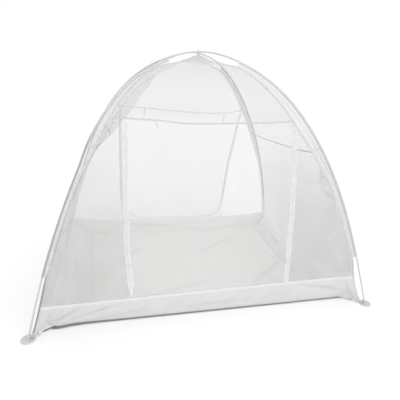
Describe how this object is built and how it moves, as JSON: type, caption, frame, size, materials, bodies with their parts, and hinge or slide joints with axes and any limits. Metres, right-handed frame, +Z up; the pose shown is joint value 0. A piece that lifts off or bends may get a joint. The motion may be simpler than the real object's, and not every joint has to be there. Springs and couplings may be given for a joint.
{
  "type": "pop-up mosquito net with pole frame",
  "caption": "Free-standing pop-up mosquito net: crossed springy poles on round feet hold up a sagging white net dome with a cloth skirt, a groundsheet and a zipped door.",
  "frame": {"origin": "middle of the footprint on the floor", "axes": "+X along the long side, -Y the zipped door side, +Z up"},
  "size_m": [2.03, 1.574, 1.4934],
  "materials": {
    "pole": "satin white coated springy rod",
    "hard_trim": "satin moulded grey-white plastic",
    "net": "fine white polyester mesh, sheer",
    "cloth": "thin white woven polyester",
    "groundsheet": "thin white woven polyester",
    "tape": "white binding tape",
    "zip": "white coil zip on its tape"
  },
  "bodies": {
    "root": {"back_seam_tape": "tape", "back_tab_left": "tape", "back_tab_right": "tape", "back_zip_tape": "zip", "binding_bl": "tape", "binding_br": "tape", "binding_fl": "tape", "binding_fr": "tape", "corner_patch": "cloth", "crown_tie": "tape", "foot_bl": "hard_trim", "foot_br": "hard_trim", "foot_fl": "hard_trim", "foot_fr": "hard_trim", "front_seam_tape": "tape", "front_zip_tape_left": "tape", "front_zip_tape_right": "tape", "groundsheet": "groundsheet", "net_back": "net", "net_front": "net", "net_left": "net", "net_right": "net", "peak_cap": "cloth", "pole_front_left_to_back_right": "pole", "pole_front_right_to_back_left": "pole", "seam_tape_left": "tape", "seam_tape_right": "tape", "skirt_back": "cloth", "skirt_front": "cloth", "skirt_left": "cloth", "skirt_right": "cloth", "sleeve_bl": "cloth", "sleeve_br": "cloth", "sleeve_fl": "cloth", "sleeve_fr": "cloth", "sleeve_tag": "tape", "strap_bl": "tape", "strap_br": "tape", "strap_fl": "tape", "strap_fr": "tape", "tie_ring": "hard_trim", "tie_tab": "tape", "zip_slider": "hard_trim"}
  },
  "joints": []
}
